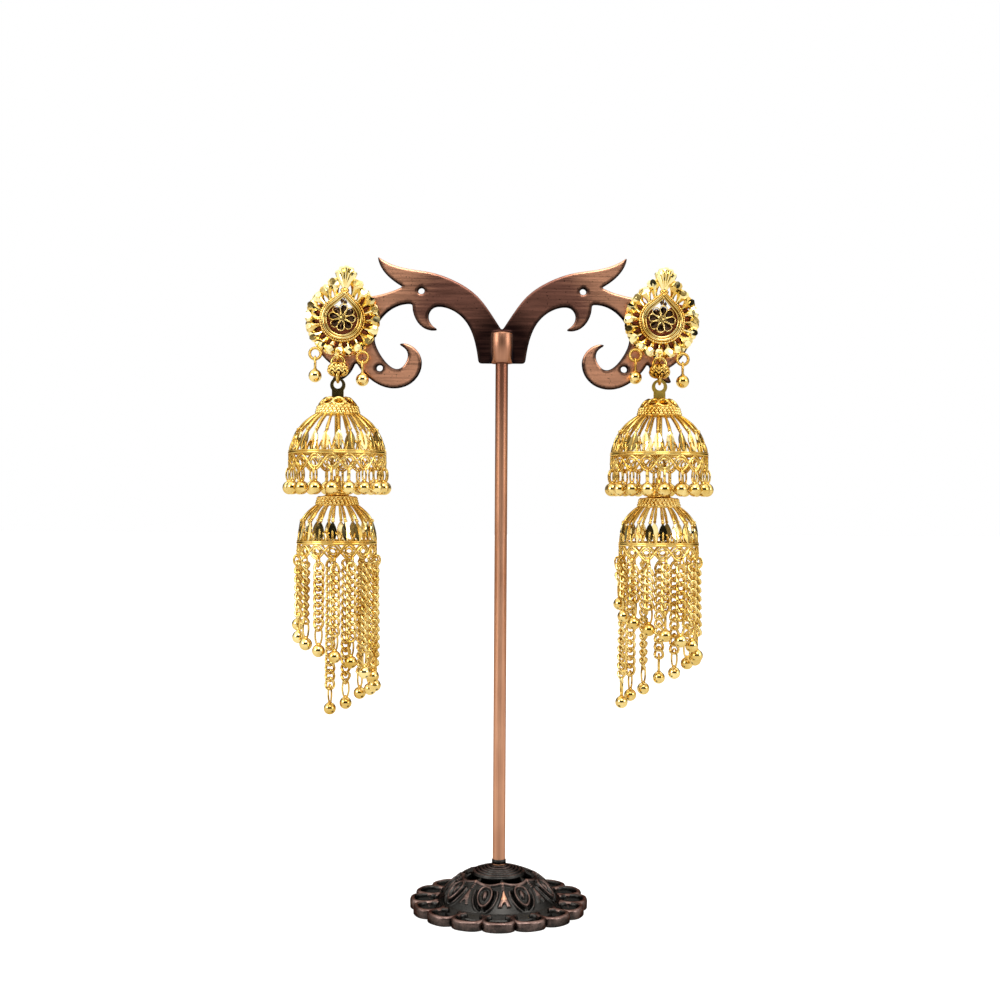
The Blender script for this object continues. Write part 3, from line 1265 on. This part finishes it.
def dome_relief(radius, azimuth):
    """How far the pattern rises above the dome, where it is worn, cut through and sunk."""
    sector = (azimuth - FIRST_MOTIF + pi / MOTIFS) % (tau / MOTIFS) - pi / MOTIFS
    side = np.abs(sector)
    leaf_turn = pi / MOTIFS - side
    along = radius * sector
    rise, wear, cut = np.zeros_like(radius), np.zeros_like(radius), np.zeros_like(radius, bool)

    def raise_by(amount, worn, where):
        np.maximum(rise, amount * where, out=rise)
        np.maximum(wear, worn * where, out=wear)

    # Rings round the top.
    for middle, width in ((2.9, 0.24), (3.55, 0.26), (4.25, 0.28), (5.0, 0.34)):
        raise_by(0.32, 0.6, ridge(radius - middle, width))
    # A scalloped cord over a piercing, with a bead between each two scallops.
    scallop = 6.95 + 0.6 * np.cos(sector * MOTIFS / 2)
    cut |= (radius > 5.45) & (radius < scallop - 0.45) & (side * radius < 2.2)
    raise_by(0.5, 0.78, ridge(radius - scallop, 0.36))
    raise_by(0.55, 1.25, ridge(np.hypot(radius - 7.1, radius * leaf_turn), 0.42))
    # An oval flower with its heart and its stalk, in a sunk frame.
    oval = np.hypot(along / 1.38, (radius - 9.5) / 1.6)
    raise_by(0.6, 0.8, ridge((oval - 0.97) * 1.45, 0.24))
    raise_by(0.6, 0.8, ridge(np.hypot(along / 0.5, (radius - 9.4) / 0.85), 1.0))
    raise_by(0.4, 0.6, ridge(np.hypot(along / 0.28, (radius - 11.3) / 0.6), 1.0))
    frame_line = np.hypot(along / 2.25, (radius - 9.6) / 2.1)
    pits = (oval > 1.17) & (frame_line < 1.0) & (np.abs(along) > 0.38) & (radius > 8.3)
    raise_by(0.35, 0.55, ridge((frame_line - 1.08) * 2.1, 0.26) * (radius > 8.6))
    # A leaf between each two flowers, with an arch out of its end. The front ones stand out most.
    leaf = np.clip((radius - 8.75) / 2.3, 0, 1)
    half = 0.2 + 1.15 * leaf ** 1.4
    arch = np.hypot(radius * leaf_turn / 0.55, (radius - 11.25) / 0.7) > 1.0
    shape = np.where((leaf > 0) & (leaf < 1) & arch, ridge(radius * leaf_turn, half) ** 0.6, 0)
    front = 0.45 + 0.55 * np.clip(-np.sin(azimuth), 0, 1) ** 8
    raise_by(0.7, 1.25, shape * front)
    raise_by(0.7, 1.8, shape * (leaf < 0.6) * front)
    # Three short bars above each leaf.
    for middle in (7.65, 8.0, 8.35):
        raise_by(0.35, 0.95, ridge(np.hypot((radius - middle) * 3.0, radius * leaf_turn), 0.42))
    return rise, wear, cut, pits


# %% The shape of the dome
def dome_shape():
    """The outside with its relief, the inside without it, and the walls of each piercing."""
    rows, columns, wall, inset, pit_depth = 100, 576, 1.0, 0.25, 0.75
    radius = np.linspace(2.4, DOME_EDGE, rows)[:, None] * np.ones(columns)
    azimuth = np.ones((rows, 1)) * (tau * np.arange(columns) / columns)
    rise, wear, cut, pits = dome_relief(radius, azimuth)
    fade = np.clip((DOME_EDGE - radius) / 0.6, 0, 1)
    rise[pits], wear[pits] = -pit_depth, 0
    slope = radius / DOME_ARC

    def layer(offset):
        out = DOME_ARC + offset
        height = out * np.sqrt(1 - slope ** 2) + DOME_APEX - DOME_ARC
        places = [out * slope * np.cos(azimuth), out * slope * np.sin(azimuth), height]
        return np.stack(places, axis=2).reshape(-1, 3)

    outer, inner = layer(rise * fade - inset), layer(np.full_like(radius, -wall))
    points = np.concatenate([outer, inner])
    size, faces = rows * columns, []
    open_face = cut[:-1] & cut[1:] & np.roll(cut, -1, 1)[:-1] & np.roll(cut, -1, 1)[1:]
    for row in range(rows - 1):
        for column in range(columns):
            if open_face[row, column]:
                continue
            after = (column + 1) % columns
            near, far = row * columns, (row + 1) * columns
            corners = (near + column, near + after, far + after, far + column)
            faces.append(corners[::-1])
            faces.append(tuple(corner + size for corner in corners))
            edges = (((row - 1, column), corners[0:2], row > 0), ((row, after), corners[1:3], True),
                     ((row + 1, column), corners[2:4], row < rows - 2),
                     ((row, column - 1), (corners[3], corners[0]), True))
            for (other_row, other_column), (first, second), inside in edges:
                if inside and open_face[other_row, other_column]:
                    faces.append((first, second, second + size, first + size))
    return (points, faces), np.concatenate([(wear * fade).ravel(), np.zeros(size)])


# %% [markdown]
# The rim is sixteen open loops. Each is a bar of rounded section that runs round a squarish oval
# and ends in the skirt. The section is a row of points, how far out and how high, and a second row
# of numbers says how worn each of them is: the outer edge most, the foot hardly.

# %% A loop of the rim
def rim_loop():
    """One open loop of the rim, and how worn each of its points is."""
    turns = np.radians(np.linspace(-152, 152, 48))
    section = [(0.0, 0.0), (0.9, 0.0), (1.0, 0.12), (1.05, 1.5), (0.92, 1.82), (0.6, 1.9),
               (0.25, 1.86), (0.06, 1.6), (0.0, 1.2)]

    def squarish(turn, out):
        across, along = np.cos(turn), np.sin(turn)
        return ((2.05 + out) * np.sign(across) * abs(across) ** 0.8,
                (2.3 + out) * np.sign(along) * abs(along) ** 0.8)

    points = [(*squarish(turn, out), height) for turn in turns for out, height in section]
    faces = grid(len(turns), len(section), False, True)
    last = len(points) - len(section)
    faces += [tuple(reversed(range(len(section)))), tuple(range(last, last + len(section)))]
    worn = np.tile([0.05, 0.3, 0.5, 0.65, 0.95, 1.05, 0.65, 0.25, 0.05], len(turns))
    return (np.array(points), faces), worn


print("a loop:", len(rim_loop()[0][1]), "faces")

# %% The whole base
def base_piece():
    """The dome, the flat boss under the pole, the foot and the loops."""
    form, wear = Form(), []

    def add(shape, shape_wear, place=None):
        form.add(shape, place)
        wear.append(np.broadcast_to(shape_wear, len(shape[0])))

    dome, dome_wear = dome_shape()
    add(dome, dome_wear)
    top, loops = BASE_TOP, 16
    boss = lathe([(0.0, top - 0.1), (1.3, top - 0.1), (1.55, top - 0.25), (2.05, top - 0.3),
                  (2.4, top - 0.5), (2.55, top - 1.2)], 64)
    add(boss, 0.3)
    add(ring(1.45, 0.2, 64, 8, "xy"), 0.6, shift(z=top - 0.2))
    add(ring(2.2, 0.24, 64, 8, "xy"), 0.6, shift(z=top - 0.4))
    foot = lathe([(DOME_EDGE - 0.5, 1.95), (DOME_EDGE - 0.05, 1.78), (12.2, 1.5), (12.7, 1.15),
                  (13.1, 1.0), (13.1, 0.0), (10.9, 0.0), (10.9, 1.0), (11.1, 1.5)], 192)
    add(foot, 0.15)
    loop, loop_wear = rim_loop()
    for step in range(loops):
        add(loop, loop_wear, spin("z", 90 + 360 / loops * step) @ shift(x=BASE_RADIUS - 3.1))
    piece = make_piece("pierced_base", form, "stand", (base_finish,), ("stand_base",))
    values = piece.data.attributes.new("wear", "FLOAT", "POINT")
    values.data.foreach_set("value", np.concatenate(wear))
    return piece


base_piece()

# %% [markdown]
# ## Check and finish
#
# The frame's own check stops the script if a piece rides on nothing or a CAD part was moved. Before
# that, the boxes of the CAD model and of the finished model are written down, so that their sizes
# can be compared. All the looks have to fit inside the CAD model's box.

# %% Sizes
visual_box = [list(corner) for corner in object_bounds()]
for name, box in (("cad", cad_box), ("visual", visual_box)):
    print(name, "mm:", [round((high - low) / MM, 2) for low, high in zip(*box)])
